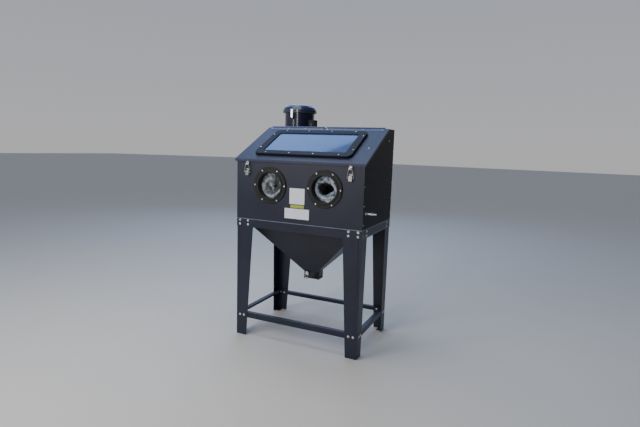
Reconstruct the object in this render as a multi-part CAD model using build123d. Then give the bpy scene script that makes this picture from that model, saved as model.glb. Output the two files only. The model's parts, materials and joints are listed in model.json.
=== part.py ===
from build123d import *
import os
from math import atan2, cos, sin, radians, degrees, sqrt

os.makedirs("parts", exist_ok=True)

# ---------------------------------------------------------------- driving dimensions (mm)
W = 940.0            # cabinet width
D = 617.0            # cabinet depth
Z_FLOOR = 862.0      # underside of the blasting chamber
Z_TOP = 1513.0       # flat strip behind the lid
Z_LID0 = 1279.0      # lid top surface at its front edge
Y_LID0 = -10.0       # lid front edge, ahead of the front panel
Y_LID1 = 443.0       # line where lid and top strip meet
T = 2.0              # sheet thickness of the chamber
LEG_T = 3.0          # sheet thickness of the legs
SKIRT = 62.0         # height of the rails under the chamber
LEG_TOP_W = 131.0    # leg front flange at the top
LEG_FOOT_W = 83.5    # leg front flange at the floor
PORT_X = 203.0       # arm ports, each side of the middle
PORT_Z = 1104.0
PORT_R = 87.0        # clear radius of an arm port
PORT_BOLT_R = 113.5
LATCH_X = 380.0
LATCH_Z = 1198.0
HOPPER_Z = 470.0     # where the pyramid meets its outlet
OUTLET = 52.0        # half width of the outlet
HOPPER_Y = 308.0
CAN_X, CAN_Y, CAN_R = -380.0, 757.0, 120.0   # dust collector
AIR_Y, AIR_Z = 45.0, 965.0                   # compressed air inlet
OX, OY = 12.0, 437.0                         # origin: middle of the whole envelope, on the floor

A = atan2(Z_TOP - Z_LID0, Y_LID1 - Y_LID0)   # slope of the lid
LID = Location(Plane(origin=(0, Y_LID0, Z_LID0), x_dir=(1, 0, 0), z_dir=(0, -sin(A), cos(A))))
HINGE_Y, HINGE_Z = 443.0, 1517.5
HS = (HINGE_Y - Y_LID0) * cos(A) + (HINGE_Z - Z_LID0) * sin(A)   # hinge axis in lid coordinates
HN = -(HINGE_Y - Y_LID0) * sin(A) + (HINGE_Z - Z_LID0) * cos(A)


# ---------------------------------------------------------------- helpers
def bx(x0, x1, y0, y1, z0, z1):
    return Pos((x0 + x1) / 2, (y0 + y1) / 2, (z0 + z1) / 2) * Box(abs(x1 - x0), abs(y1 - y0), abs(z1 - z0))


def cyl(p, d, r, length):
    return Plane(origin=p, z_dir=d) * Cylinder(r, length, align=(Align.CENTER, Align.CENTER, Align.MIN))


def tube(p, d, r1, r0, length):
    return cyl(p, d, r1, length) - cyl(p, d, r0, length)


def hexa(p, d, r, length):
    return extrude(Plane(origin=p, z_dir=d) * RegularPolygon(r, 6), amount=length)


def prism(pts, x0, x1):
    """Polygon of (y, z) points, extruded along X."""
    w = Plane.YZ * make_face(Polyline(*pts, close=True))
    return Pos(x0, 0, 0) * extrude(w, amount=x1 - x0)


def plate_xz(pts, y0, y1):
    """Polygon of (x, z) points, extruded along Y."""
    w = Plane.XZ * make_face(Polyline(*pts, close=True))
    return Pos(0, y1, 0) * extrude(w, amount=y1 - y0)


def group(items):
    out = []
    for i in items:
        out += list(i.solids())
    return Compound(children=[Solid(o.wrapped) for o in out])


def bolt(p, d, head_r, head_h, shank_r, shank_l, nut_at=None, washer=0.0, hexed=False):
    """Fastener whose head stands on p and points along d; the shank runs the other way."""
    v = Vector(*d).normalized()
    p = Vector(*p)
    q = p + v * washer
    if hexed:
        b = hexa(tuple(q), tuple(v), head_r, head_h)
    else:
        b = Plane(origin=tuple(q), z_dir=tuple(v)) * Cylinder(head_r, head_h, align=(Align.CENTER, Align.CENTER, Align.MIN))
        top = b.edges().group_by(Axis(tuple(q), tuple(v)))[-1]
        b = fillet(top, min(head_h * 0.6, head_r * 0.35))
        b = b - hexa(tuple(q + v * (head_h * 0.45)), tuple(v), head_r * 0.45, head_h)
    if washer:
        b = b + cyl(tuple(p), tuple(v), head_r * 1.35, washer)
    b = b + cyl(tuple(p - v * shank_l), tuple(v), shank_r, shank_l + washer)
    res = [b]
    if nut_at is not None:
        n = p - v * nut_at
        nut = hexa(tuple(n - v * shank_r * 1.4), tuple(v), shank_r * 1.85, shank_r * 1.4) - cyl(tuple(n - v * shank_r * 1.5), tuple(v), shank_r + 0.02, shank_r * 1.6)
        res.append(nut)
    return res


def drill(body, pts, d, r, depth=60):
    """Clearance holes through body at each point, along d, both ways."""
    v = Vector(*d).normalized()
    for p in pts:
        q = Vector(*p) - v * depth
        body = body - cyl(tuple(q), tuple(v), r, depth * 2)
    return body


NODES = {}


def node(name, shape):
    NODES[name] = shape


# ---------------------------------------------------------------- fastener positions
leg_x = (378.0, 444.0)
leg_z = (846.0, 818.0)
front_leg_pts = [(s * x, 0, z) for s in (-1, 1) for x in leg_x for z in leg_z]
back_leg_pts = [(s * x, D, z) for s in (-1, 1) for x in leg_x for z in leg_z]
side_leg_pts = [(s * 470.0, y, z) for s in (-1, 1) for y in (85.0, 565.0 - 33.0) for z in leg_z]
rail_front_pts = [(s * x, 2.0, 150.0) for s in (-1, 1) for x in (406.0, 439.0)]
rail_back_pts = [(s * x, D - 2.0, 150.0) for s in (-1, 1) for x in (406.0, 439.0)]
rail_side_pts = [(s * 468.0, y, 150.0) for s in (-1, 1) for y in (34.0, 62.0, D - 34.0, D - 62.0)]
side_screw_yz = [(11.0, z) for z in (1135.0, 1014.0, 893.0)] + [(606.0, z) for z in (1475.0, 1361.0, 1246.0, 1133.0, 1018.0, 904.0)]
port_pts = []
for s in (-1, 1):
    for k in range(6):
        a = radians(60 * k)
        port_pts.append((s * PORT_X + PORT_BOLT_R * cos(a), -9.0, PORT_Z + PORT_BOLT_R * sin(a)))

# ---------------------------------------------------------------- chamber shell
def hem(body, pick, r=1.9):
    """Round the long outer edges where two folded sheets meet."""
    return fillet([e for e in body.edges() if e.length > 400 and pick(e)], r)


zf = lambda y, n: Z_LID0 + (y - Y_LID0) * (sin(A) / cos(A)) + n / cos(A)   # height of the plane n above the lid surface

front = bx(-470, 470, 0, T, Z_FLOOR, zf(T, -16))
front += bx(-466, 466, T, 22, Z_FLOOR, Z_FLOOR + T)                       # floor flange
front += LID * bx(-446, 446, 4.2, 27, -18, -16)                            # sloped seat for the seal
front += bx(-467.8, -462, T, 16, 868, 1240) + bx(462, 467.8, T, 16, 868, 1240)  # corner returns
for s in (-1, 1):
    front -= cyl((s * PORT_X, -5, PORT_Z), (0, 1, 0), 91.3, 12)
front = drill(front, port_pts, (0, 1, 0), 3.3, 14)
for s in (-1, 1):
    front = drill(front, [(s * LATCH_X, 0, LATCH_Z - 22), (s * LATCH_X, 0, LATCH_Z + 11)], (0, 1, 0), 2.1, 6)
front = drill(front, [(s * 470, y, z) for s in (-1, 1) for (y, z) in side_screw_yz if y < 100], (1, 0, 0), 2.1, 12)
front = hem(front, lambda e: abs(e.center().Y) < 0.05 and abs(e.center().Z - Z_FLOOR) < 0.05)
node("front_panel", front)

side_pts = [(T, Z_FLOOR), (D - T, Z_FLOOR), (D - T, Z_TOP - T), (447, Z_TOP - T), (447, zf(447, -16)), (T, zf(T, -16))]
for nm, s in (("left_side_panel", -1), ("right_side_panel", 1)):
    x0, x1 = sorted((s * 468, s * 470))
    p = prism(side_pts, x0, x1)
    f0, f1 = sorted((s * 448, s * 468))
    p += bx(f0, f1, 23, D - 25, Z_FLOOR, Z_FLOOR + T)
    p += LID * bx(f0, f1, 5.4, 503, -18, -16)
    p = hem(p, lambda e: abs(e.center().X - s * 470) < 0.05 and abs(e.center().Z - Z_FLOOR) < 0.05)
    p = drill(p, [(s * 470, y, z) for (y, z) in side_screw_yz], (1, 0, 0), 2.2, 4)
    if s > 0:
        p -= cyl((460, AIR_Y, AIR_Z), (1, 0, 0), 8.2, 20)
        p -= cyl((460, 480, 1430), (1, 0, 0), 4.1, 20)
    node(nm, p)

back = bx(-470, 470, D - T, D, Z_FLOOR, Z_TOP - T)
back += bx(-466, 466, D - 22, D - T, Z_FLOOR, Z_FLOOR + T)
back += bx(-467.8, -462, D - 16, D - T, 868, 1490) + bx(462, 467.8, D - 16, D - T, 868, 1490)
back -= cyl((CAN_X, D - 5, 1200), (0, 1, 0), 38.3, 10)
back = drill(back, [(s * 470, y, z) for s in (-1, 1) for (y, z) in side_screw_yz if y > 100], (1, 0, 0), 2.1, 12)
brk_pts = [(x, D + 3, z) for x in (-455.0, -305.0) for z in (1400.0, 1490.0)]
back = drill(back, brk_pts, (0, 1, 0), 3.3, 8)
node("back_panel", back)

top = bx(-470, 470, 445, D, Z_TOP - T, Z_TOP)
top += bx(-467.8, 467.8, 445, 447, zf(446, -18), Z_TOP - T)
top += LID * bx(-446, 446, 486, 505.5, -18, -16)
hinge_screw_x = [-438, -302, -159, -22, 22, 161, 297, 438]
top = drill(top, [(x, 465, Z_TOP) for x in hinge_screw_x], (0, 0, 1), 2.2, 4)
top = drill(top, [(x, 540, Z_TOP) for x in (-230, 230)], (0, 0, 1), 2.2, 4)
node("top_panel", top)

seal = LID * (bx(-467, 467, 9, 503, -16, -2.5) - bx(-451, 451, 25, 487, -17, -1))
for x in hinge_screw_x:
    seal -= LID * cyl((x, 486, -17), (0, 0, 1), 3.4, 16)
node("lid_seal", seal)

# ---------------------------------------------------------------- rails under the chamber
zs = Z_FLOOR - SKIRT
r = bx(-470, 470, 0, T, zs, Z_FLOOR) + bx(-466, 466, T, 15, Z_FLOOR - T, Z_FLOOR)
r = hem(r, lambda e: abs(e.center().Y) < 0.05 and abs(e.center().Z - Z_FLOOR) < 0.05)
node("skirt_rail_front", drill(r, front_leg_pts, (0, 1, 0), 4.3, 12))
r = bx(-470, 470, D - T, D, zs, Z_FLOOR) + bx(-466, 466, D - 15, D - T, Z_FLOOR - T, Z_FLOOR)
node("skirt_rail_rear", drill(r, back_leg_pts, (0, 1, 0), 4.3, 12))
for nm, s in (("skirt_rail_left", -1), ("skirt_rail_right", 1)):
    x0, x1 = sorted((s * 468, s * 470))
    f0, f1 = sorted((s * 455, s * 468))
    r = bx(x0, x1, T, D - T, zs, Z_FLOOR) + bx(f0, f1, 16, D - 16, Z_FLOOR - T, Z_FLOOR)
    r = hem(r, lambda e: abs(e.center().X - s * 470) < 0.05 and abs(e.center().Z - Z_FLOOR) < 0.05)
    node(nm, drill(r, [p for p in side_leg_pts if p[0] * s > 0], (1, 0, 0), 4.3, 12))

# ---------------------------------------------------------------- legs
zl = Z_FLOOR - T
for nm, sx, sy in (("leg_front_left", -1, 1), ("leg_front_right", 1, 1), ("leg_rear_left", -1, -1), ("leg_rear_right", 1, -1)):
    fl = plate_xz([(468 * sx, 0), (468 * sx, zl), ((470 - LEG_TOP_W) * sx, zl), ((470 - LEG_TOP_W) * sx, zl - 60), ((470 - LEG_FOOT_W) * sx, 0)], 0, LEG_T)
    sd = prism([(0, 0), (0, zl), (103, zl), (103, zl - 60), (81, 0)], *sorted((sx * 465, sx * 468)))
    ft = bx(*sorted((sx * 425, sx * 467)), 1, 58, 0, 4)
    leg = fl + sd + ft
    leg -= cyl((sx * 444, 30, -1), (0, 0, 1), 5.5, 8)
    if sy > 0:
        leg = Pos(0, T, 0) * leg
    else:
        leg = Pos(0, D - T, 0) * mirror(leg, Plane.XZ)
    pts = [p for p in (front_leg_pts if sy > 0 else back_leg_pts) if p[0] * sx > 0]
    leg = drill(leg, pts, (0, 1, 0), 4.3, 12)
    leg = drill(leg, [p for p in side_leg_pts if p[0] * sx > 0 and (p[1] < 300) == (sy > 0)], (1, 0, 0), 4.3, 12)
    leg = drill(leg, [p for p in (rail_front_pts if sy > 0 else rail_back_pts) if p[0] * sx > 0], (0, 1, 0), 4.3, 12)
    leg = drill(leg, [p for p in rail_side_pts if p[0] * sx > 0 and (p[1] < 300) == (sy > 0)], (1, 0, 0), 4.3, 12)
    node(nm, leg)

# ---------------------------------------------------------------- lower rails
r = bx(-461, 461, 5, 7, 133, 172) + bx(-461, 461, 7, 36, 170, 172)
node("lower_rail_front", drill(r, rail_front_pts, (0, 1, 0), 4.3, 12))
r = bx(-461, 461, D - 7, D - 5, 133, 172) + bx(-461, 461, D - 36, D - 7, 170, 172)
node("lower_rail_rear", drill(r, rail_back_pts, (0, 1, 0), 4.3, 12))
for nm, s in (("lower_rail_left", -1), ("lower_rail_right", 1)):
    v0, v1 = sorted((s * 463, s * 465))
    f0, f1 = sorted((s * 434, s * 463))
    r = bx(v0, v1, 7.5, D - 7.5, 133, 169.9) + bx(f0, f1, 7.5, D - 7.5, 167.9, 169.9)
    node(nm, drill(r, [p for p in rail_side_pts if p[0] * s > 0], (1, 0, 0), 4.3, 12))

items = []
for p in front_leg_pts:
    items += bolt(p, (0, -1, 0), 6.2, 4.6, 4, 16, nut_at=5.0, washer=1.2)
for p in back_leg_pts:
    items += bolt(p, (0, 1, 0), 6.2, 4.6, 4, 16, nut_at=5.0, washer=1.2)
for p in side_leg_pts:
    items += bolt(p, (1 if p[0] > 0 else -1, 0, 0), 6.2, 4.6, 4, 16, nut_at=5.0, washer=1.2)
node("leg_bolts", group(items))
items = []
for p in rail_front_pts:
    items += bolt(p, (0, -1, 0), 6.2, 4.6, 4, 16, nut_at=5.0, washer=1.2)
for p in rail_back_pts:
    items += bolt(p, (0, 1, 0), 6.2, 4.6, 4, 16, nut_at=5.0, washer=1.2)
for p in rail_side_pts:
    items += bolt(p, (1 if p[0] > 0 else -1, 0, 0), 6.2, 4.6, 4, 16, nut_at=5.0, washer=1.2)
node("rail_bolts", group(items))
items = []
for s in (-1, 1):
    for (y, z) in side_screw_yz:
        items += bolt((s * 470, y, z), (s, 0, 0), 4.6, 2.6, 2, 9)
node("side_screws", group(items))

# ---------------------------------------------------------------- hopper, outlet and trap door
zt = Z_FLOOR + 2 * T
def pyramid(off, z0, z1):
    a = Plane(origin=(0, HOPPER_Y, z1)) * Rectangle(2 * (447 - off), 2 * (285.0 - off))
    b = Plane(origin=(0, HOPPER_Y, z0)) * Rectangle(2 * (OUTLET - off), 2 * (OUTLET - off))
    return loft([b, a])

def sector(k):
    """Plan wedge between two corner seams of the hopper, k = 0 front, 1 right, 2 rear, 3 left."""
    ends = []
    for sx, sy in ((-1, -1), (1, -1), (1, 1), (-1, 1)):
        ux, uy = 447.0 - OUTLET, 285.0 - OUTLET
        ends.append(((sx * (OUTLET - 0.02 * ux), HOPPER_Y + sy * (OUTLET - 0.02 * uy)), (sx * (OUTLET + 1.2 * ux), HOPPER_Y + sy * (OUTLET + 1.2 * uy))))
    a, b = ends[k], ends[(k + 1) % 4]
    f = make_face(Polyline(*[(q[0], q[1], 400) for q in (a[0], b[0], b[1], a[1])], close=True))
    return extrude(f, amount=600, dir=(0, 0, 1))

cone = pyramid(0, HOPPER_Z, zt - T) - pyramid(2.0, HOPPER_Z - 0.01, zt - T + 0.01)
spout = bx(-OUTLET, OUTLET, HOPPER_Y - OUTLET, HOPPER_Y + OUTLET, 428, HOPPER_Z) - bx(-OUTLET + 2, OUTLET - 2, HOPPER_Y - OUTLET + 2, HOPPER_Y + OUTLET - 2, 427, HOPPER_Z + 1)
sheets = [cone & sector(k) for k in range(4)] + [spout & sector(k) for k in range(4)]
sheets += [bx(-466, 466, 4, HOPPER_Y - 283, zt - T, zt), bx(-466, 466, HOPPER_Y + 283, D - 4, zt - T, zt)]
sheets += [bx(-466, -445, HOPPER_Y - 283, HOPPER_Y + 283, zt - T, zt), bx(445, 466, HOPPER_Y - 283, HOPPER_Y + 283, zt - T, zt)]
node("hopper", group(sheets))

grate = bx(-461, 461, 20, D - 20, 884, 887)
cuts = []
for i in range(26):
    for j in range(8):
        xx = -437.5 + i * 35
        yy = 38 + j * 72
        if j < 8 and not (i == 20 and j == 6):
            cuts.append(Plane(origin=(xx, yy + 18, 883)) * Box(20, 54, 10))
grate = grate - cuts
rim = [bx(-461, 461, 20, 23, zt, 884), bx(-461, 461, D - 23, D - 20, zt, 884), bx(-461, -458, 23, D - 23, zt, 884), bx(458, 461, 23, D - 23, zt, 884)]
pk = Vector(60 - 330, 330 - 498, 505 - 905)
pk_len = pk.length
pk = pk.normalized()
grate -= cyl(tuple(Vector(330, 498, 905) - pk * 20), tuple(pk), 12.8, 90)
node("work_grate", group([grate] + rim))

# outlet hinge
DH_Y, DH_Z = HOPPER_Y + OUTLET + 6, 424.0
segs = [(-40, -20.4), (-20, -0.4), (0, 19.6), (20, 40)]
dk = None
for k in (0, 2):
    x0, x1 = segs[k]
    s1 = cyl((x0, DH_Y, DH_Z), (1, 0, 0), 4, x1 - x0) + bx(x0, x1, DH_Y - 5.9, DH_Y, DH_Z, DH_Z + 4) + bx(x0, x1, HOPPER_Y + OUTLET, HOPPER_Y + OUTLET + 2, DH_Z + 2, DH_Z + 22)
    dk = s1 if dk is None else dk + s1
dk += bx(-40, 40, HOPPER_Y + OUTLET, HOPPER_Y + OUTLET + 2, DH_Z + 10, DH_Z + 22)
dk -= cyl((-50, DH_Y, DH_Z), (1, 0, 0), 2.05, 100)
node("outlet_hinge", dk)
node("outlet_hinge_pin", cyl((-42, DH_Y, DH_Z), (1, 0, 0), 2.0, 84))
door = bx(-56, 56, HOPPER_Y - OUTLET - 2, HOPPER_Y + OUTLET - 1.0, 420.4, 422.4)
for k in (1, 3):
    x0, x1 = segs[k]
    door += cyl((x0, DH_Y, DH_Z), (1, 0, 0), 4, x1 - x0) + bx(x0, x1, HOPPER_Y + OUTLET - 1.0, DH_Y, 420.4, 422.4)
door -= cyl((-50, DH_Y, DH_Z), (1, 0, 0), 2.05, 100)
door += bx(-32, -22, 242.4, 275, 418.9, 420.4) + bx(-32, -22, 242.4, 243.6, 415, 418.9)   # keeper for the outlet latch
door += bx(-56, -54.4, HOPPER_Y - 50, HOPPER_Y + 44, 412, 420.4) + bx(54.4, 56, HOPPER_Y - 50, HOPPER_Y + 44, 412, 420.4)
node("trap_door", door)
node("trap_door_gasket", bx(-52, 52, HOPPER_Y - 52, HOPPER_Y + 50, 422.4, 427.6) - bx(-44, 44, HOPPER_Y - 44, HOPPER_Y + 44, 420, 430))


# ---------------------------------------------------------------- toggle latch, panel face at y = 0, lever pivot at y = -9, z = 0
def wire(a, b, r):
    a, b = Vector(*a), Vector(*b)
    return cyl(tuple(a), tuple((b - a).normalized()), r, (b - a).length)


def latch(k=1.0, up=1, screwed=True):
    """Toggle latch at k of full size, its bail above the lever for up = 1 and below it for up = -1."""
    def b(x0, x1, y0, y1, z0, z1):
        z0, z1 = sorted((z0 * up, z1 * up))
        return bx(x0 * k, x1 * k, y0 * k, y1 * k, z0 * k, z1 * k)
    def c(p, d, r, length):
        return cyl((p[0] * k, p[1] * k, p[2] * k * up), d, r * k, length * k)
    base = b(-13, 13, -1.6, 0, -28, 15)
    for s in (-1, 1):
        e0, e1 = sorted((s * 8.6, s * 10))
        base += b(e0, e1, -9, -1.6, -5, 5) + c((e0, -9, 0), (1, 0, 0), 5, 1.4)
    base -= c((-20, -9, 0), (1, 0, 0), 2.05, 40)
    if screwed:
        base -= c((0, -5, -22), (0, 1, 0), 2.1, 10)
        base -= c((0, -5, 11), (0, 1, 0), 2.1, 10)
    pin = c((-12.9, -9, 0), (1, 0, 0), 1.95, 25.8)
    lever = b(-12, 12, -16.5, -15, -32, 2) + b(-12, 12, -20, -16.5, -32, -30.5)
    for s in (-1, 1):
        c0, c1 = sorted((s * 10.7, s * 12))
        lever += c((c0, -9, 0), (1, 0, 0), 6, 1.3) + b(c0, c1, -16.5, -7, -18, 0)
    lever -= c((-20, -9, 0), (1, 0, 0), 2.05, 40)
    lever -= c((-20, -11, -12), (1, 0, 0), 1.86, 40)
    r = 1.8
    bail = None
    for s in (-1, 1):
        p = [(s * 10.4, -11, -12), (s * 23, -11, -12), (s * 12, -17, 41.5)]
        p = [(q[0] * k, q[1] * k, q[2] * k * up) for q in p]
        w = wire(p[0], p[1], r * k) + Pos(*p[1]) * Sphere(r * k) + wire(p[1], p[2], r * k) + Pos(*p[2]) * Sphere(r * k)
        bail = w if bail is None else bail + w
    bail += wire((-12 * k, -17 * k, 41.5 * k * up), (12 * k, -17 * k, 41.5 * k * up), r * k)
    screws = bolt((0, -1.6, -22), (0, -1, 0), 3.8, 2.0, 2, 7) + bolt((0, -1.6, 11), (0, -1, 0), 3.8, 2.0, 2, 7)
    return base, pin, lever, bail, screws


keeper0 = bx(-11, 11, -9.9, -8.4, 44.5, 76) + bx(-8, 8, -22, -9.9, 44.5, 46) + bx(-8, 8, -22, -20.5, 44.5, 50)
keeper0 -= cyl((0, -20, 68), (0, 1, 0), 2.1, 20)
bases, pins, keepers, kscrews = [], [], [], []
for nm, s in (("left", -1), ("right", 1)):
    base, pin, lever, bail, screws = latch()
    L = Pos(s * LATCH_X, 0, LATCH_Z)
    bases += [L * base]
    bases += [L * q for q in screws]
    pins.append(L * pin)
    node("latch_lever_" + nm, L * lever)
    node("latch_bail_" + nm, L * bail)
    keepers.append(L * keeper0)
    keepers += [L * q for q in bolt((0, -8.4, 68), (0, 1, 0), 3.8, 2.0, 2, 3.5)]
node("latch_bases", group(bases))
node("latch_pins", group(pins))
node("latch_keepers", group(keepers))

base, pin, lever, bail, screws = latch(0.62, -1, screwed=False)
DL = Pos(-27, HOPPER_Y - OUTLET, 450)
node("outlet_latch_base", DL * base)
node("outlet_latch_pin", DL * pin)
node("outlet_latch_lever", DL * lever)
node("outlet_latch_bail", DL * bail)

# ---------------------------------------------------------------- arm ports and gloves
rings = {}
for nm, s in (("left", -1), ("right", 1)):
    prof = [(125, 0), (125, -6), (122, -9), (103, -9), (97, -14), (90, -14), (PORT_R, -11), (PORT_R, 40), (91, 40), (91, 0)]
    face = make_face(Polyline(*[(a, b, 0) for a, b in prof], close=True))
    ring = Pos(s * PORT_X, 0, PORT_Z) * revolve(face, axis=Axis.Y)
    ring = drill(ring, [p for p in port_pts if p[0] * s > 0], (0, 1, 0), 3.2, 14)
    node("arm_port_ring_" + nm, ring)
items = []
for p in port_pts:
    items += bolt(p, (0, -1, 0), 5.6, 3.2, 3, 18, nut_at=11.0)
node("port_bolts", group(items))

TILT = radians(25)
bands = []
for nm, s in (("left", -1), ("right", 1)):
    c = (s * PORT_X, 70, PORT_Z)
    d = (0, cos(TILT), -sin(TILT))
    def glove_solid(o):
        g = cyl((c[0], 14, c[2]), (0, 1, 0), 94.5 - o, 56) + Pos(*c) * Sphere(94.5 - o)
        g += Plane(origin=c, z_dir=d) * Cone(90 - o, 50 - o, 330, align=(Align.CENTER, Align.CENTER, Align.MIN))
        e = Vector(*c) + Vector(*d) * 330
        g += Pos(*e) * Sphere(50 - o)
        th = e + Vector(-s * 32, 4, 8)
        g += Pos(*th) * Sphere(28 - o)
        return g
    outer = glove_solid(0) & bx(c[0] - 200, c[0] + 200, 14, 560, 850, 1300)
    inner = glove_solid(2.5) & bx(c[0] - 200, c[0] + 200, 10, 560, 850, 1300)
    node("glove_" + nm, outer - inner)
    bands.append(tube((c[0], 18, c[2]), (0, 1, 0), 96.2, 94.7, 12) + bx(c[0] - 8, c[0] + 8, 17, 31, c[2] + 95.4, c[2] + 103))
node("glove_clamp_bands", group(bands))

# ---------------------------------------------------------------- blank front plates
node("label_upper", bx(-52, 59, -0.4, 0, 991, 1097))
node("label_strip", bx(-44, 57, -0.4, 0, 966, 986))
node("label_lower", bx(-87, 95, -0.4, 0, 892, 961))

# ---------------------------------------------------------------- air inlet
f = hexa((470, AIR_Y, AIR_Z), (1, 0, 0), 12.5, 5) + cyl((475, AIR_Y, AIR_Z), (1, 0, 0), 6.6, 19)
f += cyl((494, AIR_Y, AIR_Z), (1, 0, 0), 10.0, 19) + Plane(origin=(513, AIR_Y, AIR_Z), z_dir=(1, 0, 0)) * Cone(10.0, 7.6, 4, align=(Align.CENTER, Align.CENTER, Align.MIN))
f += cyl((517, AIR_Y, AIR_Z), (1, 0, 0), 6.5, 26)
f += cyl((452, AIR_Y, AIR_Z), (1, 0, 0), 8.0, 18)
f -= cyl((451, AIR_Y, AIR_Z), (1, 0, 0), 3.6, 95)
node("air_inlet", f)
node("air_inlet_nut", hexa((459, AIR_Y, AIR_Z), (1, 0, 0), 14, 9) - cyl((458, AIR_Y, AIR_Z), (1, 0, 0), 8.03, 11))

# ---------------------------------------------------------------- lid
lidp = bx(-480, 480, -2.2, 507, -2, 0) - bx(-316, 316, 96, 387, -3, 1)
lidp += bx(-480, -478, 2, 506, -16, -2) + bx(478, 480, 2, 506, -16, -2)
lidp = drill(lidp, [(x, 486, 0) for x in hinge_screw_x], (0, 0, 1), 2.2, 4)
win_pts = [(x, 73, 18) for x in (-271, -90, 90, 271)] + [(x, 415, 18) for x in (-271, -90, 90, 271)] + [(s * 347, y, 18) for s in (-1, 1) for y in (146, 351)]
lidp = drill(lidp, win_pts, (0, 0, 1), 2.7, 30)
stay_pts = [(430, 202, 0), (430, 214, 0)]
lidp = drill(lidp, stay_pts, (0, 0, 1), 2.1, 5)
lid = LID * lidp
lip = bx(-480, 480, -12, -10, 1260, 1277.4)
lip = drill(lip, [(s * LATCH_X, -12, LATCH_Z + 68) for s in (-1, 1)], (0, 1, 0), 2.1, 6)
lid = lid + lip
node("lid_panel", lid)


def rrect(w, h, r, cx, cy, z0, z1):
    return Pos(cx, cy, z0) * extrude(RectangleRounded(w, h, r), amount=z1 - z0)


fr = rrect(720, 375, 38, 0, 242.5, 0, 18)
fr = fillet(fr.edges().group_by(Axis.Z)[-1], 4.0)
fr -= rrect(715, 370, 35.5, 0, 242.5, -1, 15.5)
fr -= rrect(616, 275, 16, 0, 241.5, 10, 20)
fr += rrect(632, 291, 20, 0, 241.5, 15.5, 15.6) - rrect(616, 275, 16, 0, 241.5, 10, 20)
fr = drill(fr, win_pts, (0, 0, 1), 2.7, 30)
node("window_frame", LID * fr)
node("window_gasket_lower", LID * (rrect(676, 326, 12, 0, 242, 0, 8) - rrect(624, 282, 12, 0, 242, -1, 9)))
node("window_glass", LID * rrect(672, 322, 10, 0, 242, 8, 12))
node("window_gasket_upper", LID * (rrect(676, 326, 12, 0, 242, 12, 15.5) - rrect(634, 292, 14, 0, 242, 11, 16)))
items = []
for p in win_pts:
    items += bolt(p, (0, 0, 1), 5.0, 2.8, 2.5, 26, nut_at=20.0)
node("window_bolts", LID * group(items))

# piano hinges
lidleaf, bodyleaf, hpins, hscrews_l, hscrews_b = [], [], [], [], []
for x0 in (-452.0, 8.0):
    n = 8
    pitch = 444.0 / n
    ll = LID * bx(x0, x0 + 444, 470, HS - 4.6, 0, 1.2)
    bl = bx(x0, x0 + 444, HINGE_Y + 4.6, 480, Z_TOP, Z_TOP + 1.2)
    for k in range(n):
        a0, a1 = x0 + k * pitch + 0.25, x0 + (k + 1) * pitch - 0.25
        kn = cyl((a0, HINGE_Y, HINGE_Z), (1, 0, 0), 4.0, a1 - a0)
        if k % 2 == 0:
            ll += kn + LID * bx(a0, a1, HS - 5, HS, 0, 1.2)
        else:
            bl += kn + bx(a0, a1, HINGE_Y, HINGE_Y + 5, Z_TOP + 0.5, Z_TOP + 1.2) + bx(a0, a1, HINGE_Y + 3, HINGE_Y + 6, Z_TOP, Z_TOP + 1.2)
    bore = cyl((x0 - 5, HINGE_Y, HINGE_Z), (1, 0, 0), 2.05, 460)
    sx = [x for x in hinge_screw_x if x0 < x < x0 + 444]
    ll = drill(ll - bore, [tuple((LID * Pos(x, 486, 0)).position) for x in sx], (0, -sin(A), cos(A)), 2.2, 5)
    bl = drill(bl - bore, [(x, 465, Z_TOP) for x in sx], (0, 0, 1), 2.2, 5)
    lidleaf.append(ll)
    bodyleaf.append(bl)
    hpins.append(cyl((x0 - 1, HINGE_Y, HINGE_Z), (1, 0, 0), 2.0, 446))
    for x in sx:
        hscrews_l += [LID * q for q in bolt((x, 486, 1.2), (0, 0, 1), 4.4, 2.2, 2, 8)]
        hscrews_b += bolt((x, 465, Z_TOP + 1.2), (0, 0, 1), 4.4, 2.2, 2, 8)
node("hinge_leaves_lid", group(lidleaf))
node("hinge_leaves_body", group(bodyleaf))
node("hinge_pins", group(hpins))
node("hinge_screws_lid", group(hscrews_l))
node("hinge_screws_body", group(hscrews_b))

# gas strut: foot at (480, 1430) on the right wall, head under the lid
SP = Vector(438, 480, 1430)
hy = Y_LID0 + 208 * cos(A) + 20 * sin(A)
hz = Z_LID0 + 208 * sin(A) - 20 * cos(A)
SQ = Vector(438, hy, hz)
sd = (SQ - SP).normalized()
SL = (SQ - SP).length
print("strut foot", SP, "head", SQ, "length", SL, "dir", sd)
def along(z0, z1, r):
    return Pos(0, 0, z0) * Cylinder(r, z1 - z0, align=(Align.CENTER, Align.CENTER, Align.MIN))
sf = Location(Plane(origin=tuple(SP), x_dir=(1, 0, 0), z_dir=tuple(sd)))
cylb = along(12, 188, 9.0) - along(20, 181, 7.0) - along(170, 200, 4.05)
cylb += along(4, 13, 5.2) + Pos(-4.7, 0, 0) * Rot(0, 90, 0) * Cylinder(8.4, 9.4, align=(Align.CENTER, Align.CENTER, Align.MIN))
cylb -= Pos(-12, 0, 0) * Rot(0, 90, 0) * Cylinder(4.05, 24, align=(Align.CENTER, Align.CENTER, Align.MIN))
cylb = sf * cylb
node("strut_cylinder", cylb)
rod = cyl(tuple(SP + sd * 96), tuple(sd), 4.0, SL - 96 - 5) + cyl(tuple(SP + sd * 94), tuple(sd), 6.9, 8)
rod += cyl((SQ.X - 5, SQ.Y, SQ.Z), (1, 0, 0), 8, 10) + cyl((424.6, SQ.Y, SQ.Z), (1, 0, 0), 4, 14)
node("strut_rod", rod)
node("strut_foot_pin", cyl((431, SP.Y, SP.Z), (1, 0, 0), 4.0, 44) + cyl((443.6, SP.Y, SP.Z), (1, 0, 0), 8, 24.4) + hexa((470, SP.Y, SP.Z), (1, 0, 0), 7, 4))
brk = bx(422, 424, 190, 226, -32, -2) + bx(424, 436, 190, 226, -4, -2)
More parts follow.
